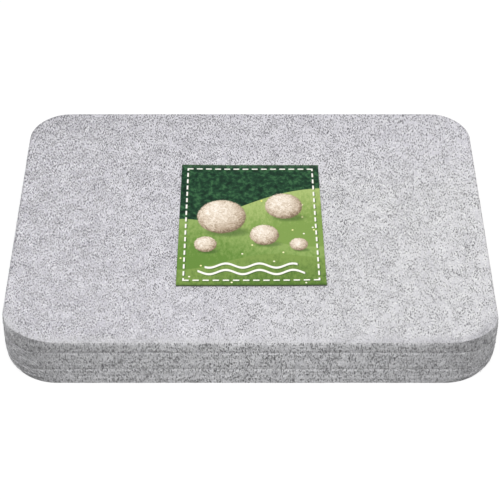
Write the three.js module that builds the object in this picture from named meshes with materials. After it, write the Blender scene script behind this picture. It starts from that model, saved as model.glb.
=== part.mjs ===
// Needle felting mat: a slab of needle-punched wool, five plies thick, with a printed card taped to its
// working face. X runs along the mat, Y from its front edge to its back, and Z up from the table it lies on.
import * as THREE from "three";

// Driving dimensions, in millimetres

// Plan of the mat
const matLength = 210;
const matDepth = 150;
const cornerRadius = 20;

// Thickness of each wool ply, as the needling left it
const bottomThickness = 4.9;
const lowerThickness = 4.1;
const middleThickness = 5.2;
const upperThickness = 5.2;
const topThickness = 5.6;

// How far each cut edge has rounded off: at the table, on both sides of each seam, and at the working face
const tableRim = 0.5;
const seamRims = [0.3, 0.4, 0.15, 0.5];
const workingRim = 1;

// Printed card on the working face, with its centre a little off the mat's
const cardWidth = 64;
const cardLength = 79;
const cardThickness = 0.7;
const cardOffsetX = 0.5;
const cardOffsetY = -3.3;

// Double-sided tape under the card, one strip along its front edge and one along its back edge
const tapeWidth = 12;
const tapeThickness = 0.3;
const tapeSideMargin = 7;
const tapeEdgeMargin = 6;

// Facets of the curved surfaces
const cornerSteps = 5; // each step gives two facets
const rimSteps = 3;
const widestRim = 0.45; // share of a ply's thickness that one rim may take

// Finishes
const woolFace = new THREE.MeshStandardMaterial({ color: 0xcbcace, roughness: 0.95, metalness: 0 });
const woolEdge = new THREE.MeshStandardMaterial({ color: 0xa8a8aa, roughness: 0.95, metalness: 0 });
const printedCard = new THREE.MeshStandardMaterial({ color: 0x5f8f3a, roughness: 0.4, metalness: 0 });
const clearTape = new THREE.MeshStandardMaterial({ color: 0xe6e2d4, roughness: 0.5, metalness: 0 });

// The plies, from the table up
const plies = [
  { name: "bottom_wool_ply", thickness: bottomThickness },
  { name: "lower_wool_ply", thickness: lowerThickness },
  { name: "middle_wool_ply", thickness: middleThickness },
  { name: "upper_wool_ply", thickness: upperThickness },
  { name: "top_wool_ply", thickness: topThickness },
];

// The mat's plan drawn in by an inset, as points that run anticlockwise
function planOutline(inset) {
  const halfLength = matLength / 2 - inset;
  const halfDepth = matDepth / 2 - inset;
  const radius = cornerRadius - inset;
  const arcX = halfLength - radius;
  const arcY = halfDepth - radius;
  const quarter = Math.PI / 2;
  const plan = new THREE.Shape();
  plan.absarc(arcX, -arcY, radius, -quarter, 0);
  plan.absarc(arcX, arcY, radius, 0, quarter);
  plan.absarc(-arcX, arcY, radius, quarter, 2 * quarter);
  plan.absarc(-arcX, -arcY, radius, 2 * quarter, 3 * quarter);
  return plan.getPoints(cornerSteps);
}

// Insets and heights of the levels that round off a ply's lower and upper edge
function rimLevels(thickness, lowerRim, upperRim) {
  const levels = [];
  for (let step = 0; step <= rimSteps; step++) {
    const angle = (Math.PI / 2) * (step / rimSteps);
    levels.push({ inset: lowerRim * (1 - Math.sin(angle)), z: lowerRim * (1 - Math.cos(angle)) });
  }
  for (let step = rimSteps; step >= 0; step--) {
    const angle = (Math.PI / 2) * (step / rimSteps);
    levels.push({
      inset: upperRim * (1 - Math.sin(angle)),
      z: thickness - upperRim * (1 - Math.cos(angle)),
    });
  }
  return levels;
}

// One ply of felt: its outlines joined level by level and closed by a flat face below and above
function plyGeometry(thickness, lowerRim, upperRim) {
  const limit = widestRim * thickness;
  const levels = rimLevels(thickness, Math.min(lowerRim, limit), Math.min(upperRim, limit));
  const outlines = levels.map((level) => planOutline(level.inset));
  const count = outlines[0].length;
  const positions = [];
  const triangles = [];
  outlines.forEach((points, row) => {
    points.forEach((point) => positions.push(point.x, point.y, levels[row].z));
  });
  for (let row = 0; row + 1 < outlines.length; row++) {
    for (let i = 0; i < count; i++) {
      const here = row * count + i;
      const beside = row * count + ((i + 1) % count);
      triangles.push(here, beside, beside + count);
      triangles.push(here, beside + count, here + count);
    }
  }
  const topRow = (outlines.length - 1) * count;
  for (const [a, b, c] of THREE.ShapeUtils.triangulateShape(outlines[0], [])) {
    triangles.push(a, c, b);
    triangles.push(topRow + a, topRow + b, topRow + c);
  }
  const geometry = new THREE.BufferGeometry();
  geometry.setAttribute("position", new THREE.Float32BufferAttribute(positions, 3));
  geometry.setIndex(triangles);
  geometry.computeVertexNormals();
  return geometry;
}

// Height above the table of a number of plies, counted from the lowest
function stackHeight(count) {
  return plies.slice(0, count).reduce((height, ply) => height + ply.thickness, 0);
}

// The five plies, stacked face to face
function woolStack() {
  const stack = new THREE.Group();
  const rims = [tableRim, ...seamRims, workingRim];
  plies.forEach(({ name, thickness }, i) => {
    const finish = i === plies.length - 1 ? woolFace : woolEdge;
    const ply = new THREE.Mesh(plyGeometry(thickness, rims[i], rims[i + 1]), finish);
    ply.name = name;
    ply.position.z = stackHeight(i);
    stack.add(ply);
  });
  return stack;
}

// One strip of tape, along the card's edge on the side that side points to
function tapeStrip(name, side) {
  const length = cardWidth - 2 * tapeSideMargin;
  const strip = new THREE.Mesh(new THREE.BoxGeometry(length, tapeWidth, tapeThickness), clearTape);
  strip.name = name;
  strip.position.y = side * (cardLength / 2 - tapeEdgeMargin - tapeWidth / 2);
  strip.position.z = tapeThickness / 2;
  return strip;
}

// The card on its two strips of tape, which come off the mat together
function label() {
  const group = new THREE.Group();
  const card = new THREE.Mesh(new THREE.BoxGeometry(cardWidth, cardLength, cardThickness), printedCard);
  card.name = "label_card";
  card.position.z = tapeThickness + cardThickness / 2;
  group.add(card, tapeStrip("label_tape_front", -1), tapeStrip("label_tape_back", 1));
  group.position.set(cardOffsetX, cardOffsetY, stackHeight(plies.length));
  return group;
}

const feltingMat = new THREE.Group();
feltingMat.add(woolStack(), label());

export default feltingMat;
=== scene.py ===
import math
import random

import bmesh
import bpy
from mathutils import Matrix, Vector
from mathutils.bvhtree import BVHTree
from numpy import interp


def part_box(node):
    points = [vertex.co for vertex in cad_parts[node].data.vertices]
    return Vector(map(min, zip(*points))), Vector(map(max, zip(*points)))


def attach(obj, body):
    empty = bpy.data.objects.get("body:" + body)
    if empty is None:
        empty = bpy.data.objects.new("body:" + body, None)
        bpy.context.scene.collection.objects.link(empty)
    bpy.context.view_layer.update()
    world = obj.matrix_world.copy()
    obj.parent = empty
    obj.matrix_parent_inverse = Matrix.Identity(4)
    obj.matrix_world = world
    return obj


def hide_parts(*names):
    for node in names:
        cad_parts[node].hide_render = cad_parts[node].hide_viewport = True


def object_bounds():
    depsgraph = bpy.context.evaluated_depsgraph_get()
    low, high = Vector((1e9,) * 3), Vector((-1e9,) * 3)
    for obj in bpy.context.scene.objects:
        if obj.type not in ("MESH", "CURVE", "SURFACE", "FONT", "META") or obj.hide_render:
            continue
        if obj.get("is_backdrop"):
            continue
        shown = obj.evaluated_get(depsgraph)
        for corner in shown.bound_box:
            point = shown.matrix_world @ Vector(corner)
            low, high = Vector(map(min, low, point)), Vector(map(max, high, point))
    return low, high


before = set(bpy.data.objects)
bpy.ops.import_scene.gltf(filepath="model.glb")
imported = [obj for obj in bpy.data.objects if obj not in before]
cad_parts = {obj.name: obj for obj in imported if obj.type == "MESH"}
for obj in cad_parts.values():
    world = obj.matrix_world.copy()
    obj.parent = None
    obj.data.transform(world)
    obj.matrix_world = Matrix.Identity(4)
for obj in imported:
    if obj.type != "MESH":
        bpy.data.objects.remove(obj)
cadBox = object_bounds()
mm = 0.001
print("frame loaded:", len(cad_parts), "nodes")


# A table of settings, which also gives them by a dot
class Table(dict):
    __getattr__ = dict.__getitem__


# Boxes of the solids, and the plan of the mat

def boxOf(node):
    return [Vector(corner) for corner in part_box(node)]


matLow, matHigh = boxOf("bottom_wool_ply")[0], boxOf("top_wool_ply")[1]
cardLow, cardHigh = boxOf("label_card")
halfLength, halfDepth, _ = (matHigh - matLow) / 2
thickness = matHigh.z - matLow.z
cornerRadius = 20 * mm  # that it was cut to
coreX, coreY = halfLength - cornerRadius, halfDepth - cornerRadius  # middle of the back right corner


# Camera

cameraFit = Table({
    "elevation": math.radians(44.59),
    "distance": 681.4 * mm,
    "aim": Vector((0, -6.68 * mm, 12.5 * mm)),
    "lens": 108.28,
    "sensor": 36,
    "clip": 10 * mm,
})


def placeCamera():
    tilt = cameraFit.elevation
    back = Vector((0, -math.cos(tilt), math.sin(tilt)))
    data = bpy.data.cameras.new("photoCamera")
    data.lens = cameraFit.lens
    data.sensor_width = cameraFit.sensor
    data.clip_start = cameraFit.clip
    camera = bpy.data.objects.new("photoCamera", data)
    camera.location = cameraFit.aim + back * cameraFit.distance
    camera.rotation_euler = (math.pi / 2 - tilt, 0, 0)
    bpy.context.collection.objects.link(camera)
    bpy.context.scene.camera = camera


placeCamera()
print("camera placed")


# Small helpers for modelling

def deselectAll():
    bpy.ops.object.select_all(action="DESELECT")


def makeActive(piece):
    deselectAll()
    piece.select_set(True)
    bpy.context.view_layer.objects.active = piece


def startEdit(piece):
    makeActive(piece)
    bpy.ops.object.mode_set(mode="EDIT")


def endEdit():
    bpy.ops.object.mode_set(mode="OBJECT")


def selectParts(piece, kind, wanted):
    bpy.ops.mesh.select_mode(type=kind)
    bpy.ops.mesh.select_all(action="DESELECT")
    editMesh = bmesh.from_edit_mesh(piece.data)
    for part in editMesh.edges if kind == "EDGE" else editMesh.faces:
        if wanted(part):
            part.select_set(True)
    bmesh.update_edit_mesh(piece.data)


def selectEdges(piece, wanted):
    selectParts(piece, "EDGE", lambda edge: wanted(edge.verts[0].co, edge.verts[1].co))


def selectFaces(piece, wanted):
    selectParts(piece, "FACE", lambda face: wanted(face.calc_center_median(), face.normal))


# Whether two places on an axis count as one
def meets(a, b):
    return abs(a - b) < 0.01 * mm


# Edges that run along most of a box on one axis
def selectLong(piece, axis, low, high):
    most = 0.6 * (high[axis] - low[axis])
    selectEdges(piece, lambda a, b: abs(a[axis] - b[axis]) > most)


def turnOutward():
    bpy.ops.mesh.select_all(action="SELECT")
    bpy.ops.mesh.normals_make_consistent(inside=False)


def addBlock(name, low, high):
    deselectAll()
    bpy.ops.mesh.primitive_cube_add(size=1, location=(low + high) / 2)
    block = bpy.context.object
    block.name = name
    block.data.name = name
    block.scale = high - low
    bpy.ops.object.transform_apply(location=True, rotation=True, scale=True)
    return block


def applyModifier(piece, modifier):
    makeActive(piece)
    bpy.ops.object.modifier_apply(modifier=modifier.name)


# Distance in from the mat's outline, below zero outside it
def edgeDistance(x, y):
    overX, overY = abs(x) - coreX, abs(y) - coreY
    beyond = math.hypot(max(overX, 0), max(overY, 0))
    within = min(max(overX, overY), 0)
    return cornerRadius - beyond - within


def smoothStep(low, high, value):
    share = min(max((value - low) / (high - low), 0), 1)
    return share * share * (3 - 2 * share)


# Small helpers for materials. A wire carries a value between nodes, and sums of wires make more nodes

class Wire:
    def __init__(self, socket):
        self.socket = socket

    __add__ = __radd__ = lambda self, other: combine("ADD", self, other)
    __sub__ = lambda self, other: combine("SUBTRACT", self, other)
    __rsub__ = lambda self, other: combine("SUBTRACT", other, self)
    __mul__ = lambda self, other: combine("MULTIPLY", self, other)
    __truediv__ = lambda self, other: combine("DIVIDE", self, other)
    __gt__ = lambda self, other: combine("GREATER_THAN", self, other)
    __lt__ = lambda self, other: combine("LESS_THAN", self, other)
    __abs__ = lambda self: combine("ABSOLUTE", self)


def isVector(value):
    if isinstance(value, Wire):
        return value.socket.type != "VALUE"
    return not isinstance(value, (int, float))


def feed(socket, value):
    if isinstance(value, Wire):
        socket.id_data.links.new(value.socket, socket)
    elif socket.type == "VECTOR" and not isVector(value):
        socket.default_value = (value,) * 3
    else:
        socket.default_value = value


# A new node in the tree of a wire, with its inputs by name
def addNode(wire, kind, **inputs):
    node = wire.socket.id_data.nodes.new("ShaderNode" + kind)
    for name, value in inputs.items():
        feed(node.inputs[name], value)
    return node


def combine(operation, *values):
    wire = next(value for value in values if isinstance(value, Wire))
    node = addNode(wire, "VectorMath" if any(map(isVector, values)) else "Math")
    node.operation = operation
    for socket, value in zip(node.inputs, values):
        feed(socket, value)
    return Wire(node.outputs["Value" if operation in ("LENGTH", "DOT_PRODUCT") else 0])


# Wires combined one after the other
def overAll(operation, wires):
    total, *others = wires
    for wire in others:
        total = combine(operation, total, wire)
    return total


def ramp(value, low, high, start=0, end=1):
    node = addNode(value, "MapRange")
    node.interpolation_type = "SMOOTHSTEP"
    for socket, setting in zip(node.inputs, (value, low, high, start, end)):
        feed(socket, setting)
    return Wire(node.outputs["Result"])


# Rises to 1 where both places are past their spans
def inBoth(x, y, spans):
    return ramp(x, *spans[0]) * ramp(y, *spans[1])


# 1 below a limit and 0 above it, with a soft change
def below(value, limit, soft):
    return ramp(value, limit - soft, limit + soft, 1, 0)


def mixColour(share, under, over):
    node = addNode(share, "Mix")
    node.data_type = "RGBA"
    for index, value in ((0, share), (6, under), (7, over)):
        feed(node.inputs[index], value)
    return Wire(node.outputs[2])


def colourStops(value, stops):
    node = addNode(value, "ValToRGB", Fac=value)
    elements = node.color_ramp.elements
    while len(elements) < len(stops):
        elements.new(1.0)
    for element, (place, colour) in zip(elements, stops):
        element.position = place
        element.color = (*colour, 1)
    return Wire(node.outputs["Color"])


def objectPlace(tree):
    return Wire(tree.nodes.new("ShaderNodeTexCoord").outputs["Object"])


def attribute(tree, name, output):
    node = tree.nodes.new("ShaderNodeAttribute")
    node.attribute_name = name
    return Wire(node.outputs[output])


# A place that is turned, by degrees, and then stretched
def mapping(vector, offset=(0, 0, 0), turn=(0, 0, 0), scale=(1, 1, 1)):
    angles = [math.radians(angle) for angle in turn]
    turned = addNode(vector, "Mapping", Vector=vector, Location=offset, Rotation=angles)
    stretched = addNode(vector, "Mapping", Vector=Wire(turned.outputs["Vector"]), Scale=scale)
    return Wire(stretched.outputs["Vector"])


def noise(vector, scale, detail=2.0, roughness=0.5, curl=0.0, output="Fac"):
    settings = {"Scale": scale, "Detail": detail, "Roughness": roughness, "Distortion": curl}
    return Wire(addNode(vector, "TexNoise", Vector=vector, **settings).outputs[output])


# Random cells: distance from the middle of a cell, and its two random numbers
def randomCells(vector, scale, dimensions):
    cells = addNode(vector, "TexVoronoi")
    cells.voronoi_dimensions = dimensions
    feed(cells.inputs["Vector"], vector)
    feed(cells.inputs["Scale"], scale)
    split = addNode(vector, "SeparateColor", Color=Wire(cells.outputs["Color"]))
    sockets = cells.outputs["Distance"], split.outputs["Red"], split.outputs["Green"]
    return [Wire(socket) for socket in sockets]


def splitPlace(vector):
    return [Wire(socket) for socket in addNode(vector, "SeparateXYZ", Vector=vector).outputs]


def addBump(shader, height, strength, distance):
    bump = addNode(height, "Bump", Strength=strength, Distance=distance, Height=height)
    feed(shader.inputs["Normal"], Wire(bump.outputs["Normal"]))


def clearNodes(owner, outputKind):
    owner.use_nodes = True
    tree = owner.node_tree
    tree.nodes.clear()
    return tree, tree.nodes.new(outputKind)


def newMaterial(name, finish):
    material = bpy.data.materials.new(name)
    tree, output = clearNodes(material, "ShaderNodeOutputMaterial")
    shader = tree.nodes.new("ShaderNodeBsdfPrincipled")
    tree.links.new(shader.outputs["BSDF"], output.inputs["Surface"])
    for setting, value in finish.items():
        shader.inputs[setting].default_value = value
    return material, tree, shader


# Wool felt: webs of fibres in a mix of greys, short dark and pale bits of single fibres, and soft clouds

felt = Table({
    "webMeans": (0.62, 0.38),  # of the lightest and the darkest of the webs
    "webShift": (0.37, 0.21, 0.13),  # from the pattern of one web to the next
    "bitShift": (0.11, 0.53, 0.29),
    "bendSize": 7 * mm,
    "bend": 3 * mm,
    "cloudSize": 9 * mm,
    "clusterSize": 5 * mm,
    "clusters": (0.35, 0.65, 0.55, 1.45),  # span of the noise, and least and most dark bits by their mean
    "finish": {"Roughness": 0.95, "Specular IOR Level": 0.2, "Sheen Weight": 0.12, "Sheen Roughness": 0.6},
})

# the open faces, with a rim along the front that was pressed smooth
feltFace = Table({
    **felt,
    "webTurns": ((0, 0, 35), (0, 0, 70), (0, 0, 100), (0, 0, 135)),  # all flat
    "webLength": 2.0 * mm,
    "webWidth": 0.32 * mm,
    "bitTurns": ((0, 0, 45), (0, 0, 75), (0, 0, 105), (0, 0, 135)),
    "bitLength": 2.0 * mm,
    "bitWidth": 1.05 * mm,
    "bitCells": "2D",
    "bitEdge": (0.16, 0.32, 1, 0),  # where a bit fades out, in cells
    "halo": (0.575, 0.235, 0.45),  # ring of lighter wool around a dark bit: middle, half width, cover
    "drawn": 0.52,  # drawn out across the mat, so the grain is finer along it
    "coarser": 1.2,  # towards the back, by this much a metre
    "lightGain": 0.45,
    "darkGain": 0.55,
    "cloudGain": 0.34,
    "toneDrift": 0.50,  # lighter along the mat, by this much a metre
    "bitDrift": (-1.9, 3.0, 0),  # fewer dark fibres along it, and more towards the back
    "tones": (
        (0.00, (0.101, 0.098, 0.118)),
        (0.30, (0.345, 0.337, 0.379)),
        (0.50, (0.607, 0.595, 0.645)),
        (0.72, (0.737, 0.727, 0.769)),
        (1.00, (0.820, 0.813, 0.843)),
    ),
    "darkBits": (0.28, 0.82, (0.050, 0.048, 0.058, 1)),  # share of the bits, cover and colour
    "paleBits": (0.16, 0.76, (0.940, 0.936, 0.946, 1)),
    "rim": (0.8 * mm, 6.5 * mm, 1, 0),  # distances in from the edge where the pressed rim fades out
    "rimDepth": (1.2 * mm, 0.4 * mm),  # depths under the working face where it begins
    "rimFront": (-66 * mm, -48 * mm, 1, 0),  # places where it ends, towards the back
    "rimCalm": 0.50,  # share of the bits that show on it
    "rimSmooth": (0.25, 0.50),  # how far its webs are smoothed, and towards which tone
    "rimDull": (10 * mm, 80 * mm, 0, -0.12),  # painted shade on the rim: its tone drops along the mat, between these places
    "rimWorn": (1.4 * mm, 0.05, 0.15),  # painted shade on the other rims: its reach, how much darker, and that at the left
    "wornAcross": ((35 * mm, 75 * mm, 0, 0.066), (-10 * mm, -40 * mm, 0, 0.030)),  # darker towards the back and towards the front, between these places
    "neutral": (0.990, 1.0, 0.966),  # takes the violet out of the wool on the rim and at the front right
    "neutralFrom": ((-40 * mm, 50 * mm), (60 * mm, 10 * mm)),
    "bumpHeight": 0.25 * mm,
    "bumpStrength": 0.6,
})

# the cut edges, which show the same wool more coarsely
feltEdge = Table({
    **felt,
    "webTurns": ((0, 65, 0), (0, 90, 0), (0, 120, 0), (35, 90, 0), (-35, 90, 0)),  # upright, as needled
    "webLength": 1.7 * mm,
    "webWidth": 0.42 * mm,
    "bitTurns": ((0, 65, 0), (0, 90, 0), (0, 115, 0), (40, 90, 0)),
    "bitLength": 2.25 * mm,
    "bitWidth": 0.76 * mm,
    "bitCells": "3D",
    "bitEdge": (0.36, 0.46, 1, 0),
    "halo": (0.57, 0.19, 0.62),
    "drawn": 0.50,
    "coarser": 0.0,
    "lightGain": 1.2,
    "darkGain": 1.65,
    "cloudGain": 0.22,
    "toneDrift": 0.35,
    "bitDrift": (0, 0, 0),
    "tones": (
        (0.00, (0.122, 0.122, 0.130)),
        (0.30, (0.459, 0.458, 0.476)),
        (0.50, (0.751, 0.749, 0.777)),
        (0.72, (0.889, 0.887, 0.910)),
        (1.00, (0.957, 0.956, 0.972)),
    ),
    "darkBits": (0.20, 0.87, (0.074, 0.074, 0.079, 1)),
    "paleBits": (0.20, 0.88, (0.936, 0.935, 0.941, 1)),
    "endCalm": 0.45,  # how much fainter the bits are at the ends of the mat
    "seams": {  # painted shade just above and painted highlight just below each seam, by the ply over it
        "top_wool_ply": (0.81, 1.16),
        "middle_wool_ply": (0.87, 1.20),
        "lower_wool_ply": (0.98, 1.08),
    },
    "seamReach": (2.6 * mm, 1.4 * mm),  # how far those tones reach up and down
    "seamWidth": (0.3 * mm, -0.6 * mm),  # where the dark and the light one are strongest
    "seamWander": (6 * mm, 0.25 * mm),  # size and depth of the waves that they run in
    "seamStretch": 30 * mm,  # size of the stretches where a seam shows more or less
    "seamShown": (0.38, 0.62, 0.85, 1.2),  # span of the noise for that, and least and most of it
    "fold": ((2.1 * mm, 1.0), (2.6 * mm, 0.90), (3.0 * mm, 1.0)),  # a painted shade line along the lowest ply
    "rimTones": ((2.6 * mm, 1.0), (1.1 * mm, 1.02), (0, 0.88)),  # painted shade by depth under the working face, darkest on its rounded rim
    "ends": 0.31,  # how much painted shade darkens the corners
    "cornerTop": (12 * mm, 0.45),  # and how much more at the top of them, from this height on
    "cornerBend": ((78 * mm, 92 * mm), (64 * mm, 71 * mm)),  # where a corner bends, along and across
    "bendShade": (0.12, 0.26),  # how much painted shade darkens it there, and just under the working face
    "bendTop": (4.2 * mm, 2.4 * mm),  # depths between which the second shade starts
    "bendFoot": (5 * mm, 9 * mm, 0.25, 1),  # heights under which both die out, and the share that is left
    "sideTone": (92 * mm, 101 * mm, 1, 1.25),  # painted light makes the short sides lighter
    "bumpHeight": 0.40 * mm,
    "bumpStrength": 0.8,
})


# edgeDistance as a wire
def edgeInset(place):
    over = abs(place) - (coreX, coreY, 1)
    beyond = combine("LENGTH", combine("MAXIMUM", over, 0))
    overX, overY, _ = splitPlace(over)
    within = combine("MINIMUM", combine("MAXIMUM", overX, overY), 0)
    return cornerRadius - beyond - within


# Share of the pressed rim along the front, and how much darker the other rims are by painted shade, with a
# darkening towards the back and the front
def rimShares(place, wool):
    x, y, z = splitPlace(place)
    inset = edgeInset(place)
    front = ramp(y, *wool.rimFront)
    onFace = ramp(z, *(matHigh.z - depth for depth in wool.rimDepth))
    pressed = ramp(inset, *wool.rim) * onFace * front
    # painted shade along the rims away from the front, most at the left
    reach, most, atLeft = wool.rimWorn
    much = ramp(x, -halfLength / 2, -halfLength, most, atLeft)
    darkening = ramp(inset, reach / 2, reach, 1, 0) * much * (1 - front)
    # darker towards the back and the front
    for limits in wool.wornAcross:
        darkening = darkening + ramp(y, *limits)
    return pressed, darkening


# Patterns of fibres laid one over the other, each turned its own way
def layers(kind, bent, wool):
    along, across = 1 / wool[kind + "Length"], 1 / wool[kind + "Width"]
    for count, turn in enumerate(wool[kind + "Turns"]):
        offset = [step * count for step in wool[kind + "Shift"]]
        yield mapping(bent, offset, turn, (along, across, across))


# Webs of long fibres: the lightest and the darkest that lie on top, and the height of them all
def fibreWebs(bent, wool):
    webs = [noise(layer, 1.0, 1.0) for layer in layers("web", bent, wool)]
    return [overAll(operation, webs) for operation in ("MAXIMUM", "MINIMUM", "ADD")]


# Short bits of single fibres, as masks of the dark and of the pale ones
def fibreBits(place, bent, wool):
    clusters = ramp(noise(place, 1 / wool.clusterSize), *wool.clusters)
    density = clusters + combine("DOT_PRODUCT", place, wool.bitDrift)
    darkFrom = 1 - density * wool.darkBits[0]
    middle, half, much = wool.halo
    dark, pale = [], []
    for layer in layers("bit", bent, wool):
        distance, pick, _ = randomCells(layer, 1, wool.bitCells)
        body = ramp(distance, *wool.bitEdge)
        ring = ramp(abs(distance - middle), 0, half, much, 0)
        isDark = pick > darkFrom
        dark.append(body * isDark)
        pale.append(combine("MAXIMUM", body * (pick < wool.paleBits[0]), ring * isDark))
    return overAll("MAXIMUM", dark), overAll("MAXIMUM", pale)


# Painted shade on the cut edges around the mat: the corners are darker, most of all at the top and under
# the working face where they bend, and painted light lightens the short sides
def cornerShading(place, wool):
    x, y, height = splitPlace(abs(place))
    corner = x / halfLength * (y / halfDepth)
    start, most = wool.cornerTop
    top = combine("POWER", corner, 6) * ramp(height, start, thickness, 0, most)
    bend = inBoth(x, y, wool.cornerBend) * ramp(height, *wool.bendFoot)
    deep, shallow = wool.bendTop
    shade = ramp(height, thickness - deep, thickness - shallow, *wool.bendShade)
    # painted shade at the corners and where they bend
    tone = (1 - corner * corner * wool.ends) * (1 - top) * (1 - bend * shade)
    # painted light on the short sides
    return tone * ramp(x, *wool.sideTone)


# Painted shade and light on the cut edges by height: each ply has painted shade where it tucks in over the
# seam below it and the ply below a painted highlight, with a painted shade line along the lowest ply,
# painted shade on the rounded rim under the working face, and the corners' painted shade added
def seamShading(place, wool):
    reachUp, reachDown = wool.seamReach
    darkest, lightest = wool.seamWidth
    stops = list(wool.fold)
    for node in reversed(wool.seams):
        dark, light = wool.seams[node]
        seam = boxOf(node)[0].z
        # painted highlight just below the seam and painted shade just above it
        stops += [(seam - reachDown, 1), (seam + lightest, light)]
        stops += [(seam + darkest, dark), (seam + reachUp, 1)]
    # painted shade on the rounded rim under the working face
    stops += [(thickness - depth, tone) for depth, tone in wool.rimTones]
    size, depth = wool.seamWander
    height = splitPlace(place)[2] + (noise(place, 1 / size, 3.0) - 0.5) * depth
    # the ramp holds half of each tone, since some are above 1
    half = colourStops(height / thickness, [(level / thickness, (tone / 2,) * 3) for level, tone in stops])
    shown = ramp(noise(place, 1 / wool.seamStretch), *wool.seamShown)
    return (half * 2 - 1) * shown + cornerShading(place, wool)


# Tint of the working face, which is violet at the back left and loses that towards the front right
def neutralTint(place, rim, wool):
    x, y, _ = splitPlace(place)
    share = combine("MAXIMUM", inBoth(x, y, wool.neutralFrom), rim)
    return share * [tint - 1 for tint in wool.neutral] + 1


def feltMaterial(name, wool):
    material, tree, shader = newMaterial(name, wool.finish)
    place = objectPlace(tree)
    x, y, _ = splitPlace(place)
    # bend the fibres by pushing the place about
    bent = (noise(place, 1 / wool.bendSize, 1.0, output="Color") - 0.5) * wool.bend + place
    bent = bent * (1 / wool.drawn, 1, 1) * (1 - y * wool.coarser)
    lightest, darkest, height = fibreWebs(bent, wool)
    dark, pale = fibreBits(place, bent, wool)
    clouds = noise(place, 1 / wool.cloudSize, 3.0)
    lightMean, darkMean = wool.webMeans
    tone = (lightest - lightMean) * wool.lightGain + (darkest - darkMean) * wool.darkGain + 0.5
    tone = tone + (clouds - 0.5) * wool.cloudGain + x * wool.toneDrift
    if "seams" in wool:
        atEnd = abs(x) / halfLength
        shown = 1 - atEnd * atEnd * wool.endCalm
        # painted shade and light on the cut edges, by height and at the corners
        paintedLightAndTint = seamShading(place, wool)
    else:
        rim, darkening = rimShares(place, wool)
        smoothed, rimTone = wool.rimSmooth
        # the pressed rim's webs are smoothed, and painted shade darkens it along the mat
        tone = tone + rim * ((rimTone - tone) * smoothed + ramp(x, *wool.rimDull))
        shown = ramp(rim, 0, 1, 1, wool.rimCalm)
        # a tint, with painted shade on the other rims and a darkening towards the back and the front
        paintedLightAndTint = neutralTint(place, rim, wool) * (1 - darkening)
    colour = colourStops(tone, wool.tones)
    for mask, (_, cover, tint) in ((pale, wool.paleBits), (dark, wool.darkBits)):
        colour = mixColour(mask * cover * shown, colour, tint)
    feed(shader.inputs["Base Color"], colour * paintedLightAndTint)
    addBump(shader, height + (pale - dark), wool.bumpStrength, wool.bumpHeight)
    return material


# Wool plies

woolPly = Table({
    "grain": 0.85 * mm,  # size of the felt's faces
    "firstCuts": 4,
    "wallRows": 6,
    "cornerSegments": 36,
    "rimSegments": 4,
    "flat": 0.99,  # faces turned up or down by this much are flat
    "edges": {  # in millimetres: rounding of the lower and the upper edge, and lean of the cut
        "bottom_wool_ply": (0.3, 0.12, 0.10),
        "lower_wool_ply": (0.15, 0.12, 0.05),
        "middle_wool_ply": (0.25, 0.12, 0.05),
        "upper_wool_ply": (0.12, 0.12, 0),
        "top_wool_ply": (0.3, 0.7, 0.05),
    },
    "leanHeight": 3.2 * mm,  # the cut leans in over this height
    # size of the unevenness, and its depth on the faces and on the cut edges, in millimetres
    "waves": ((22, 0.4, 0.2), (4, 0.3, 0.25), (1.7, 0.2, 0.3)),
    "wander": (25 * mm, 0.3 * mm),  # size and depth of the waves that the seams run in
    "wanderFade": 3 * mm,  # they die out this far from the table and the working face
    "underCard": (0.25, 2 * mm),  # share of the roughness under the card, and how far around it
    "pressed": (1.0 * mm, 3.0 * mm),  # distances in where the faces between plies turn flat
    "edgeBand": 2 * mm,  # how far in the cut edge's finish reaches between plies
    "shoulder": 0.75 * mm,  # and on the front rim of the working face
    "turnedUp": 0.4,  # on the other rims only what is turned up less than this has it
    "turnedFront": -0.1,
    "steady": (0.3, 3 * mm),  # share of the roughness at the ends of the cut edge, and how far in
    "cornerHeights": (0, 4, 9, 15, 20, 22.5, 24, 25),  # in millimetres
    "corners": {  # reach of the arc at those heights, by the side and the end of the mat
        (-1, -1): (22.8, 19.1, 17.4, 17.4, 18.1, 19.2, 22.2, 26.4),
        (1, -1): (22.0, 18.0, 16.0, 15.9, 16.2, 17.6, 20.0, 22.4),
        (-1, 1): (22.0, 19.2, 17.4, 17.0, 16.8, 17.0, 17.4, 18.6),
        (1, 1): (22.0, 19.2, 17.8, 17.3, 17.0, 17.1, 17.6, 18.6),
    },
    "cornersAcross": {(-1, -1): 19.0, (1, -1): 16.6, (-1, 1): 19.0, (1, 1): 19.0},  # most across the mat
    "acrossFrom": 15 * mm,  # above this height
    "cornerReach": 14 * mm,  # how far in from the edge the faces follow their corners
    "underside": 0.4,  # share of the roughness on the underside
})


# Share of a place that lies under the card, fading out around it
def underCard(x, y):
    outside = max(cardLow.x - x, x - cardHigh.x, cardLow.y - y, y - cardHigh.y)
    return 1 - smoothStep(0, woolPly.underCard[1], outside)


# How rough each point is: flat between plies, and with seams that wander between the open faces only
def weighRoughness(ply, low, high, openBelow, openAbove):
    face, edge, seam = (ply.vertex_groups.new(name=name) for name in ("face", "edge", "seam"))
    fade = woolPly.wanderFade
    left, reach = woolPly.steady
    middle = (low.z + high.z) / 2
    for vertex in ply.data.vertices:
        x, y, z = vertex.co
        onEdge = 1 - smoothStep(*woolPly.pressed, edgeDistance(x, y))
        onFace = 0
        if openAbove and z > middle:
            onFace = (1 - onEdge) * (1 - (1 - woolPly.underCard[0]) * underCard(x, y))
        if openBelow and z < middle:
            onFace = woolPly.underside * (1 - onEdge)
        face.add([vertex.index], onFace, "REPLACE")
        steady = left + (1 - left) * smoothStep(0, reach, min(z - matLow.z, matHigh.z - z))
        edge.add([vertex.index], onEdge * steady, "REPLACE")
        inside = smoothStep(0, fade, z - matLow.z) * smoothStep(0, fade, matHigh.z - z)
        seam.add([vertex.index], onEdge * inside, "REPLACE")


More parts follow.
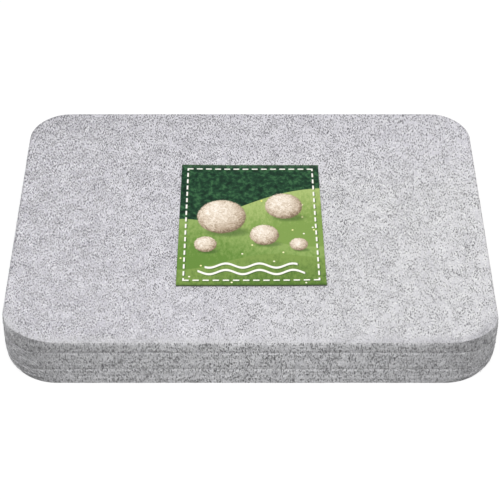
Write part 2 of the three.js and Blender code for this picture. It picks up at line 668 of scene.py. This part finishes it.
# How a point moves so that its corner gets its own arc. The straight runs stretch to fit
def cornerShift(x, y, z):
    overX, overY = abs(x) - coreX, abs(y) - coreY
    if max(overX, overY) <= 0:
        return Vector()
    share = Vector((min(abs(x) / coreX, 1), min(abs(y) / coreY, 1)))
    out = Vector((max(overX, 0), max(overY, 0))).normalized()
    near = 1 - smoothStep(0, woolPly.cornerReach, edgeDistance(x, y))
    corner = math.copysign(1, x), math.copysign(1, y)
    along = across = interp(z / mm, woolPly.cornerHeights, woolPly.corners[corner]) * mm
    if z > woolPly.acrossFrom:
        across = min(along, woolPly.cornersAcross[corner] * mm)
    return Vector((
        math.copysign(near, x) * (cornerRadius - along) * share.x * (1 - out.x),
        math.copysign(near, y) * (cornerRadius - across) * share.y * (1 - out.y),
        0))


def displace(ply, group, size, depth, direction):
    texture = bpy.data.textures.new("unevenness", "CLOUDS")
    texture.noise_scale = size
    texture.noise_depth = 1
    wave = ply.modifiers.new("wave", "DISPLACE")
    wave.texture = texture
    wave.texture_coords = "LOCAL"
    wave.direction = direction
    wave.strength = depth
    wave.mid_level = 0.5
    wave.vertex_group = group
    applyModifier(ply, wave)


def selectRing(ply, level):
    selectEdges(ply, lambda a, b: meets(a.z, level) and meets(b.z, level))


def roundRing(ply, level, rim):
    selectRing(ply, level)
    bpy.ops.mesh.bevel(offset=rim, segments=woolPly.rimSegments, affect="EDGES")


# A grid of faces across an open ring, from one corner's middle to the next
def fillFace(ply, level, span):
    selectFaces(ply, lambda centre, normal: abs(normal.z) > woolPly.flat and meets(centre.z, level))
    bpy.ops.mesh.delete(type="ONLY_FACE")
    selectRing(ply, level)
    bpy.ops.mesh.select_mode(type="VERT")
    editMesh = bmesh.from_edit_mesh(ply.data)
    ring = [vertex for vertex in editMesh.verts if vertex.select]
    corner = min(ring, key=lambda vertex: vertex.co.x + vertex.co.y)
    editMesh.select_history.clear()
    editMesh.select_history.add(corner)
    bmesh.update_edit_mesh(ply.data)
    bpy.ops.mesh.fill_grid(span=span, offset=0)


# Cuts the straight runs of wall along an axis into strips, first into a few and then each of those
def cutRun(ply, axis, run):
    coarse = woolPly.firstCuts
    fine = round(run / coarse / woolPly.grain)
    for parts, share in ((coarse, 1), (fine, 1 / coarse)):
        selectEdges(ply, lambda a, b: meets(abs(a[axis] - b[axis]), run * share))
        bpy.ops.mesh.subdivide(number_cuts=parts - 1)
    return coarse * fine


def makeWoolPly(node, faceFelt, edgeFelt):
    low, high = boxOf(node)
    lowerRim, upperRim, lean = (size * mm for size in woolPly.edges[node])
    openBelow, openAbove = node == "bottom_wool_ply", node == "top_wool_ply"
    segments = woolPly.cornerSegments
    ply = addBlock("felted_" + node, low, high)
    for material in (faceFelt, edgeFelt):
        ply.data.materials.append(material)
    startEdit(ply)
    selectLong(ply, 2, low, high)
    bpy.ops.mesh.bevel(offset=cornerRadius, segments=segments, affect="EDGES")
    # cut the straight runs into strips, with the flat faces taken off meanwhile
    selectFaces(ply, lambda centre, normal: abs(normal.z) > woolPly.flat)
    bpy.ops.mesh.delete(type="ONLY_FACE")
    cutsX, cutsY = (cutRun(ply, axis, high[axis] - low[axis] - 2 * cornerRadius) for axis in (0, 1))
    for level in (low.z, high.z):
        selectRing(ply, level)
        bpy.ops.mesh.edge_face_add()
    roundRing(ply, high.z, upperRim)
    selectLong(ply, 2, low, high)
    bpy.ops.mesh.subdivide(number_cuts=woolPly.wallRows - 1)
    # the cut leans in towards the lower edge
    selectRing(ply, low.z)
    shrink = [1 - 2 * lean / (high[axis] - low[axis]) for axis in (0, 1)]
    bpy.ops.transform.resize(
        value=(*shrink, 1), center_override=(0, 0, low.z), use_proportional_edit=True,
        proportional_edit_falloff="SHARP", proportional_size=woolPly.leanHeight)
    roundRing(ply, low.z, lowerRim)
    if openAbove:
        fillFace(ply, high.z, cutsX + segments)
    if openBelow:
        fillFace(ply, low.z, cutsY + segments)
    turnOutward()
    # the cut edge has its own finish
    reach = woolPly.shoulder if openAbove else woolPly.edgeBand
    selectFaces(ply, lambda centre, normal: edgeDistance(centre.x, centre.y) < reach and (
        not openAbove or normal.z < woolPly.turnedUp or normal.y < woolPly.turnedFront * normal.z))
    ply.active_material_index = 1
    bpy.ops.object.material_slot_assign()
    endEdit()
    for vertex in ply.data.vertices:
        vertex.co += cornerShift(*vertex.co)
    weighRoughness(ply, low, high, openBelow, openAbove)
    displace(ply, "seam", *woolPly.wander, "Z")
    for size, *depths in woolPly.waves:
        for group, depth in zip(("face", "edge"), depths):
            displace(ply, group, size * mm, depth * mm, "NORMAL")
    for vertex in ply.data.vertices:
        vertex.co.z = max(vertex.co.z, matLow.z)  # flat where it lies on the table
    makeActive(ply)
    bpy.ops.object.shade_smooth()
    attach(ply, "mat")
    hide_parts(node)
    print("felted", node, len(ply.data.polygons), "faces")
    return ply


faceFelt = feltMaterial("feltFace", feltFace)
edgeFelt = feltMaterial("feltEdge", feltEdge)
plies = {node: makeWoolPly(node, faceFelt, edgeFelt) for node in woolPly.edges}


# Loose strands of wool that lie on the felt, half sunk in it, with some ends standing up

loose = Table({
    "seed": 41,
    "points": 6,
    "radius": 0.045 * mm,
    "faceStrands": 3200,
    "edgeStrands": 3000,
    "faceLength": (2.5 * mm, 9 * mm),
    "edgeLength": (1.5 * mm, 6 * mm),
    "curl": 0.55,  # most turn between two points, in radians
    "bow": 0.25,  # most of a steady turn
    "upright": 0.8,  # spread of the headings on the cut edges
    "sunk": -0.05 * mm,
    "proud": (0.02 * mm, 0.10 * mm),
    "liftShare": 0.12,
    "lift": (0.15 * mm, 0.60 * mm),
    "liftBefore": 0.45,  # share of the lift at the point before a lifted end
    "margin": 0.7 * mm,
    "look": 3 * mm,  # how far out the felt's surface is looked for
    "weld": 0.001 * mm,
    "shades": ((0.34, 0.0, 0.25), (0.30, 0.35, 0.65), (0.36, 0.8, 1.0)),  # share, from, to
    "tones": (
        (0.0, (0.060, 0.058, 0.068)),
        (0.5, (0.450, 0.445, 0.465)),
        (1.0, (0.900, 0.897, 0.905)),
    ),
    "finish": {"Roughness": 0.8, "Specular IOR Level": 0.3, "Sheen Weight": 0.2},
})


def looseWoolMaterial():
    material, tree, shader = newMaterial("looseWool", loose.finish)
    shade = attribute(tree, "shade", "Fac")
    feed(shader.inputs["Base Color"], colourStops(shade, loose.tones))
    return material


def surfaceOf(piece):
    corners = [vertex.co.copy() for vertex in piece.data.vertices]
    return BVHTree.FromPolygons(corners, [tuple(face.vertices) for face in piece.data.polygons])


# Point on the mat's outline and its outward direction, by the distance round it from the front
def outlinePoint(distance):
    arc = math.pi / 2 * cornerRadius
    left = distance % (4 * (coreX + coreY + arc))
    corner = Vector((0, -coreY))
    along, out = Vector((1, 0)), Vector((0, -1))
    for run in (coreX, 2 * coreY, 2 * coreX, 2 * coreY, coreX):
        if left <= run:
            return corner + along * left + out * cornerRadius, out
        left -= run
        corner = corner + along * run
        if left <= arc:
            turn = left / cornerRadius
            facing = out * math.cos(turn) + along * math.sin(turn)
            return corner + facing * cornerRadius, facing
        left -= arc
        along, out = -out, along
    return corner + out * cornerRadius, out


# A seeded path of points that wanders from a start
def strandPath(dice, start, heading, length):
    step = length / (loose.points - 1)
    bow = dice.uniform(-loose.bow, loose.bow)
    path = [start]
    for _ in range(loose.points - 1):
        heading += bow + dice.uniform(-1, 1) * loose.curl
        path.append((path[-1][0] + step * math.cos(heading), path[-1][1] + step * math.sin(heading)))
    return path


# Heights of a strand's points over the felt: sunk at both ends, unless one end stands up
def strandHeights(dice):
    heights = [dice.uniform(*loose.proud) for _ in range(loose.points)]
    heights[0] = heights[-1] = loose.sunk
    if dice.random() < loose.liftShare:
        heights[-1] = dice.uniform(*loose.lift)
        heights[-2] = heights[-1] * loose.liftBefore
    return heights


def faceStrands(dice, surface):
    strands = []
    while len(strands) < loose.faceStrands:
        start = (dice.uniform(matLow.x, matHigh.x), dice.uniform(matLow.y, matHigh.y))
        path = strandPath(dice, start, dice.uniform(0, 2 * math.pi), dice.uniform(*loose.faceLength))
        heights = strandHeights(dice)
        offEdge = min(edgeDistance(x, y) for x, y in path) >= loose.margin
        if not offEdge or max(underCard(x, y) for x, y in path) > 0:
            continue
        points = []
        for (x, y), height in zip(path, heights):
            hit = surface.ray_cast(Vector((x, y, matHigh.z + loose.look)), Vector((0, 0, -1)))
            points.append(hit[0] + hit[1] * height)
        strands.append(points)
    return strands


# Place and direction of the felt's surface on a cut edge, or of the outline inside a seam
def cutEdgeAt(surfaces, distance, z):
    spot, out = outlinePoint(distance)
    spot, out = Vector((*spot, z)), out.to_3d()
    reach = loose.look
    hits = [surface.ray_cast(spot + out * reach, -out, 2 * reach) for surface in surfaces]
    found = [hit for hit in hits if hit[0] is not None]
    return min(found, key=lambda hit: hit[3])[:2] if found else (spot, out)


def edgeStrands(dice, surfaces):
    margin = loose.margin
    around = 4 * (halfLength + halfDepth)
    strands = []
    while len(strands) < loose.edgeStrands:
        start = (dice.uniform(0, around), dice.uniform(margin, matHigh.z - margin))
        heading = dice.gauss(math.pi / 2, loose.upright)
        path = strandPath(dice, start, heading, dice.uniform(*loose.edgeLength))
        heights = strandHeights(dice)
        if min(z for _, z in path) < margin or max(z for _, z in path) > matHigh.z - margin:
            continue
        points = []
        for (distance, z), height in zip(path, heights):
            spot, out = cutEdgeAt(surfaces, distance, z)
            points.append(spot + out * height)
        strands.append(points)
    return strands


def strandShade(dice):
    pick = dice.random()
    for share, low, high in loose.shades:
        if pick < share:
            return dice.uniform(low, high)
        pick -= share
    return high


def makeStrands(name, strands, dice, material):
    curve = bpy.data.curves.new(name, "CURVE")
    curve.dimensions = "3D"
    curve.bevel_depth = loose.radius
    curve.bevel_resolution = 0
    curve.use_fill_caps = True
    for points in strands:
        spline = curve.splines.new("POLY")
        spline.points.add(len(points) - 1)
        for slot, point in zip(spline.points, points):
            slot.co = (*point, 1)
    wool = bpy.data.objects.new(name, curve)
    bpy.context.collection.objects.link(wool)
    makeActive(wool)
    bpy.ops.object.convert(target="MESH")
    wool = bpy.context.object
    each = len(wool.data.vertices) // len(strands)
    shades = [shade for _ in strands for shade in [strandShade(dice)] * each]
    wool.data.attributes.new("shade", "FLOAT", "POINT").data.foreach_set("value", shades)
    # weld the ends on
    startEdit(wool)
    bpy.ops.mesh.select_all(action="SELECT")
    bpy.ops.mesh.remove_doubles(threshold=loose.weld)
    turnOutward()
    endEdit()
    bpy.ops.object.shade_smooth()
    wool.data.materials.append(material)
    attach(wool, "mat")
    print(name, len(strands), "strands,", len(wool.data.polygons), "faces")


def makeLooseWool():
    dice = random.Random(loose.seed)
    material = looseWoolMaterial()
    surfaces = [surfaceOf(ply) for ply in plies.values()]
    makeStrands("loose_wool_on_face", faceStrands(dice, surfaces[-1]), dice, material)
    makeStrands("loose_wool_on_edges", edgeStrands(dice, surfaces), dice, material)


makeLooseWool()


# Printed card: balls of wool on hills in a stitched border, in millimetres from the middle of the card

labelCard = Table({
    "columns": 16,
    "rows": 20,
    "edgeRound": 0.1 * mm,
    "edgeSegments": 2,
    "curl": 0.3 * mm,  # how far two corners stand up
    "curlReach": 22 * mm,
    "cornerSize": 1 * mm,
    "printGlance": 0.6,  # normals this far up carry the print, the rest shows the cut edge
    "sharp": math.radians(30),  # edges that bend more than this stay sharp
    # how far the cut is off at each corner, along and across, in millimetres
    "trim": {(0, 0): (-0.45, 0.85), (1, 0): (0.60, 0.95), (0, 1): (-0.15, 0), (1, 1): (-0.80, 0)},
})

design = Table({
    "leaves": ((0.36, (0.004, 0.018, 0.010)), (0.50, (0.012, 0.048, 0.023)), (0.64, (0.045, 0.135, 0.055))),
    "leafNoise": (0.35, 5.0, 0.7),  # features a millimetre, detail, roughness
    "hills": (  # line of the crest, and the greens from the crest down
        {"level": 11, "swell": 5, "reach": 17, "phase": 0.4, "slope": 0.26,
         "crest": (0.370, 0.470, 0.160), "foot": (0.200, 0.310, 0.075)},
        {"level": -7, "swell": 4, "reach": 13, "phase": 3.3, "slope": -0.20,
         "crest": (0.260, 0.370, 0.110), "foot": (0.125, 0.235, 0.045)},
        {"level": -24, "swell": 3, "reach": 11, "phase": 1.0, "slope": 0.10,
         "crest": (0.200, 0.300, 0.075), "foot": (0.090, 0.170, 0.035)},
    ),
    "hillDepth": 20,
    "crestSoft": 0.2,
    "grassStreak": (0.8, 0.42, 1),  # streaks a millimetre, across and up the card
    "streakNoise": (1, 4.0, 0.65),
    "grassContrast": 2.4,
    "balls": ((15, 11, 8.5), (-13, 4, 11), (6, -8, 6.5), (-20, -14, 5), (21, -14, 4)),
    "ballLight": (0.12, 0.62, -0.18, 0.28),  # light on a ball: least, towards the eye, along and up
    "ballEdge": (0.99, 0.07),
    "ballShadow": (0.25, -0.9, 3),  # where it falls, along and up in radii, and how flat it is
    "shadowFade": (0.1, 1.3, 0.6, 0),  # where it starts to fade and ends, squared, and its cover
    "lockNoise": (0.55, 5.0, 0.68, 1.5),
    "lockContrast": 1.7,
    "wool": ((0.0, (0.190, 0.135, 0.085)), (0.35, (0.440, 0.345, 0.250)), (0.75, (0.760, 0.660, 0.540)),
             (1.0, (0.900, 0.840, 0.760))),
    "ballFuzz": 1.4,
    "fuzzNoise": (1.6, 3.0),
    "stitch": {"inset": 3.0, "halfWidth": 0.36, "pitch": 4.3, "share": 0.62, "soft": (0.05, 0.12)},
    "yarns": ((-27.5, 1.3, 2.3, 20), (-31.5, 1.3, 2.3, 23)),  # level, swing, reach and half length
    "yarnWidth": 0.62,
    "yarnSoft": (0.3, 0.15),
    "thread": (0.900, 0.880, 0.820, 1),
    "threadShadow": (0.035, 0.080, 0.020, 1),
    "shadowStep": (0.45, -0.45),
    "shadowCover": 0.75,
    "blooms": (4.5, 0.13, (0.07, 0.12, 1, 0)),  # spacing and share of the flowers, where one fades
    "bloomShift": (31, 17, 0),
    "bloomYellow": (0.85, 0.80, 0.18, 1),
    "endRim": (0.4, 1.3, 0.40, 0),  # painted shade along the front and the back edges
    # the cut edge: its dark is partly ink bleed and partly painted shade
    "cutEdge": ((0.3, (0.030, 0.044, 0.020)), (0.7, (0.080, 0.100, 0.055))),
    "cutLayers": (0.4, 0.4, 7),
    "paperNoise": (5, 2.0),
    "paperBump": (0.08, 0.05 * mm),
    "finish": {"Roughness": 0.38, "Specular IOR Level": 0.05},
    "cutFinish": {"Roughness": 0.85, "Specular IOR Level": 0.2},
})


# Place on the print, which follows the cut of the card
def cardPlace(tree):
    return attribute(tree, "printPlace", "Vector")


# How far the cut of the card is off at a point
def trimShift(x, y):
    across, up = (x - cardLow.x) / (cardHigh.x - cardLow.x), (y - cardLow.y) / (cardHigh.y - cardLow.y)
    shift = Vector()
    for (right, back), off in labelCard.trim.items():
        share = (across if right else 1 - across) * (up if back else 1 - up)
        shift += Vector((*off, 0)) * share
    return shift * mm


def printBlooms(place, under):
    spacing, share, fade = design.blooms
    distance, pick, hue = randomCells(mapping(place, offset=design.bloomShift), 1 / spacing, "2D")
    dot = ramp(distance, *fade)
    tint = mixColour(hue, design.thread, design.bloomYellow)
    return mixColour((pick < share) * dot, under, tint)


# One hill: all that lies below its crest, with streaks of grass
def printHill(place, under, hill):
    x, y, _ = splitPlace(place)
    swell = combine("SINE", x / hill["reach"] + hill["phase"])
    depth = swell * hill["swell"] + x * hill["slope"] + hill["level"] - y
    streaks = noise(mapping(place, scale=design.grassStreak), *design.streakNoise)
    shade = depth / design.hillDepth + (streaks - 0.5) * design.grassContrast
    colour = printBlooms(place, colourStops(shade, ((0, hill["crest"]), (1, hill["foot"]))))
    return mixColour(below(depth, 0, design.crestSoft), colour, under)


# One ball of wool: shaded as a round thing, with curly locks and a soft shadow on the grass
def printBall(place, x, y, under, ball):
    ballX, ballY, radius = ball
    across, up = (x - ballX) / radius, (y - ballY) / radius
    square = across * across + up * up
    stepX, stepY, flat = design.ballShadow
    fallX, fallY = across - stepX, (up - stepY) * flat
    fall = ramp(fallX * fallX + fallY * fallY, *design.shadowFade)
    shaded = mixColour(fall, under, design.threadShadow)
    least, front, along, above = design.ballLight
    bulge = combine("SQRT", combine("MAXIMUM", 1 - square, 0))
    locks = noise(place, *design.lockNoise) - 0.5
    light = bulge * front + across * along + up * above + locks * design.lockContrast + least
    return mixColour(below(square, *design.ballEdge), shaded, colourStops(light, design.wool))


# Running stitches along a rectangle inside the card's edges
def stitchMask(x, y):
    stitch = design.stitch
    sideX, sideY, _ = (cardHigh - cardLow) / 2 / mm
    overX, overY = abs(x) - (sideX - stitch["inset"]), abs(y) - (sideY - stitch["inset"])
    ring = abs(combine("MAXIMUM", overX, overY))
    along = (overX > overY) * (y - x) + x
    fromMiddle = abs(combine("FRACT", along / stitch["pitch"]) - 0.5)
    dashSoft, ringSoft = stitch["soft"]
    return below(fromMiddle, stitch["share"] / 2, dashSoft) * below(ring, stitch["halfWidth"], ringSoft)


def yarnMask(x, y):
    endSoft, sideSoft = design.yarnSoft
    strands = []
    for level, swing, reach, half in design.yarns:
        off = abs(y - (combine("SINE", x / reach) * swing + level))
        strands.append(below(abs(x), half, endSoft) * below(off, design.yarnWidth, sideSoft))
    return overAll("MAXIMUM", strands)


def printThreads(x, y, under, mask):
    stepX, stepY = design.shadowStep
    shadow = mask(x - stepX, y - stepY) * design.shadowCover
    shaded = mixColour(shadow, under, design.threadShadow)
    return mixColour(mask(x, y), shaded, design.thread)


def printedCardMaterial():
    material, tree, shader = newMaterial("printedCard", design.finish)
    place = cardPlace(tree)
    x, y, _ = splitPlace(place)
    colour = colourStops(noise(place, *design.leafNoise), design.leaves)
    for hill in design.hills:
        colour = printHill(place, colour, hill)
    push = noise(place, *design.fuzzNoise, output="Color") - 0.5
    fuzzX, fuzzY, _ = splitPlace(push * design.ballFuzz + place)
    for ball in design.balls:
        colour = printBall(place, fuzzX, fuzzY, colour, ball)
    for mask in (yarnMask, stitchMask):
        colour = printThreads(x, y, colour, mask)
    # painted shade along the front and the back edges of the print
    fromEnd = (cardHigh.y - cardLow.y) / 2 / mm - abs(y)
    colour = mixColour(ramp(fromEnd, *design.endRim), colour, design.threadShadow)
    feed(shader.inputs["Base Color"], colour)
    addBump(shader, noise(place, *design.paperNoise), *design.paperBump)
    return material


# Cut edges and back of the card: layers of grey-green board, darkened partly by ink bleed and partly by
# painted shade
def cardBoardMaterial():
    material, tree, shader = newMaterial("cardBoard", design.cutFinish)
    board = noise(mapping(cardPlace(tree), scale=design.cutLayers), *design.streakNoise)
    feed(shader.inputs["Base Color"], colourStops(board, design.cutEdge))
    return material


def makeLabelCard():
    low, high = cardLow, cardHigh
    card = addBlock("printed_label_card", low, high)
    startEdit(card)
    bpy.ops.mesh.select_all(action="SELECT")
    bpy.ops.mesh.bevel(offset=labelCard.edgeRound, segments=labelCard.edgeSegments, affect="EDGES")
    for axis, parts in ((0, labelCard.columns), (1, labelCard.rows)):
        selectLong(card, axis, low, high)
        bpy.ops.mesh.subdivide(number_cuts=parts - 1)
    # two opposite corners have come up a little
    for corner in (Vector((low.x, high.y)), Vector((high.x, low.y))):
        selectEdges(card, lambda a, b: all(
            (end.to_2d() - corner).length < labelCard.cornerSize for end in (a, b)))
        bpy.ops.transform.translate(
            value=(0, 0, labelCard.curl), use_proportional_edit=True,
            proportional_edit_falloff="SMOOTH", proportional_size=labelCard.curlReach)
    for material in (cardBoardMaterial(), printedCardMaterial()):
        card.data.materials.append(material)
    selectFaces(card, lambda centre, normal: normal.z > labelCard.printGlance)
    card.active_material_index = 1
    bpy.ops.object.material_slot_assign()
    endEdit()
    middle = (low + high) / 2
    printPlaces = [value for vertex in card.data.vertices for value in (vertex.co - middle) / mm]
    card.data.attributes.new("printPlace", "FLOAT_VECTOR", "POINT").data.foreach_set("vector", printPlaces)
    for vertex in card.data.vertices:
        vertex.co += trimShift(vertex.co.x, vertex.co.y)
    makeActive(card)
    bpy.ops.object.shade_smooth_by_angle(angle=labelCard.sharp)
    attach(card, "label")
    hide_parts("label_card")
    print("label card", len(card.data.polygons), "faces")


makeLabelCard()


# Double-sided tape: strips torn off against a saw blade, so their ends are toothed

tapeStrip = Table({
    "teeth": 8,
    "toothDepth": 0.7 * mm,
    "tissue": ((0.3, (0.640, 0.590, 0.470)), (0.6, (0.780, 0.740, 0.620)), (0.8, (0.860, 0.830, 0.740))),
    "fibreSize": (2.5 * mm, 0.4 * mm, 0.4 * mm),
    "fibreTurn": (0, 0, 12),
    "fibreNoise": (1, 4.0, 0.6),
    "bump": (0.3, 0.05 * mm),
    "finish": {"Roughness": 0.35},
})


def tapeMaterial():
    material, tree, shader = newMaterial("doubleSidedTape", tapeStrip.finish)
    scale = [1 / size for size in tapeStrip.fibreSize]
    place = mapping(objectPlace(tree), turn=tapeStrip.fibreTurn, scale=scale)
    tissue = noise(place, *tapeStrip.fibreNoise)
    feed(shader.inputs["Base Color"], colourStops(tissue, tapeStrip.tissue))
    addBump(shader, tissue, *tapeStrip.bump)
    return material


def makeTapeStrip(node, material):
    low, high = boxOf(node)
    strip = addBlock("toothed_" + node, low, high)
    startEdit(strip)
    selectLong(strip, 1, low, high)
    bpy.ops.mesh.subdivide(number_cuts=2 * tapeStrip.teeth - 1)
    # every second cut of an end goes in, which leaves the teeth
    pitch = (high.y - low.y) / (2 * tapeStrip.teeth)
    for end, inward in ((low.x, 1), (high.x, -1)):
        selectEdges(strip, lambda a, b: (
            meets(a.x, end) and meets(b.x, end) and meets(a.y, b.y)
            and round((a.y - low.y) / pitch) % 2 == 0))
        bpy.ops.transform.translate(value=(inward * tapeStrip.toothDepth, 0, 0))
    turnOutward()
    endEdit()
    strip.data.materials.append(material)
    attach(strip, "label")
    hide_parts(node)
    print("tape", node, len(strip.data.polygons), "faces")


tape = tapeMaterial()
for node in ("label_tape_front", "label_tape_back"):
    makeTapeStrip(node, tape)


# Floor, light and background

studio = Table({
    "floorSize": 8,
    "floorDrop": 0.15 * mm,
    "floorWhite": 1.02,
    "floorBounce": 0.20,
    "floorShadowShare": 0.20,
    "keyPlace": (0, -0.86, 1.32),
    "keySize": 0.85,
    "keyPower": 23.5,
    "fillPlace": (0, 1.25, 0.30),
    "fillSize": 0.8,
    "fillPower": 4.0,
    "worldStrength": 0.40,
})


# 1 for what the camera sees directly, in a reflection or through glass
def shownToCamera(tree):
    path = tree.nodes.new("ShaderNodeLightPath")
    kinds = ("Is Camera Ray", "Is Glossy Ray", "Is Transmission Ray")
    return overAll("MAXIMUM", [Wire(path.outputs[kind]) for kind in kinds])


def makeFloor():
    deselectAll()
    bpy.ops.mesh.primitive_plane_add(size=studio.floorSize, location=(0, 0, -studio.floorDrop))
    floor = bpy.context.object
    floor.name = "studio_floor"
    material = bpy.data.materials.new("studioFloor")
    tree, output = clearNodes(material, "ShaderNodeOutputMaterial")
    kinds = ("BsdfDiffuse", "BsdfDiffuse", "Emission", "AddShader", "MixShader")
    bounce, shadowed, white, pale, choice = (tree.nodes.new("ShaderNode" + kind) for kind in kinds)
    for node, name in ((bounce, "floorBounce"), (shadowed, "floorShadowShare")):
        node.inputs["Color"].default_value = (*[studio[name]] * 3, 1)
    white.inputs["Strength"].default_value = studio.floorWhite - studio.floorShadowShare
    feed(choice.inputs[0], shownToCamera(tree))
    for source, target in (
            (shadowed, pale.inputs[0]), (white, pale.inputs[1]), (bounce, choice.inputs[1]),
            (pale, choice.inputs[2]), (choice, output.inputs["Surface"])):
        tree.links.new(source.outputs[0], target)
    floor.data.materials.append(material)
    floor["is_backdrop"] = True


def makeLight(name):
    data = bpy.data.lights.new(name + "Light", "AREA")
    data.shape = "SQUARE"
    data.size = studio[name + "Size"]
    data.energy = studio[name + "Power"]
    light = bpy.data.objects.new(name + "Light", data)
    light.location = studio[name + "Place"]
    light.rotation_euler = (-light.location).to_track_quat("-Z", "Y").to_euler()
    bpy.context.collection.objects.link(light)


def makeWorld():
    world = bpy.data.worlds.new("studioWorld")
    bpy.context.scene.world = world
    tree, output = clearNodes(world, "ShaderNodeOutputWorld")
    sky = tree.nodes.new("ShaderNodeBackground")
    sky.inputs["Color"].default_value = (1, 1, 1, 1)
    feed(sky.inputs["Strength"], ramp(shownToCamera(tree), 0, 1, studio.worldStrength, 1))
    tree.links.new(sky.outputs[0], output.inputs["Surface"])


makeFloor()
makeLight("key")
makeLight("fill")
makeWorld()
bpy.context.scene.view_settings.view_transform = "Standard"
print("studio lit")

boxes = {"cad": cadBox, "visual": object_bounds()}
{name: [list(corner) for corner in box] for name, box in boxes.items()}
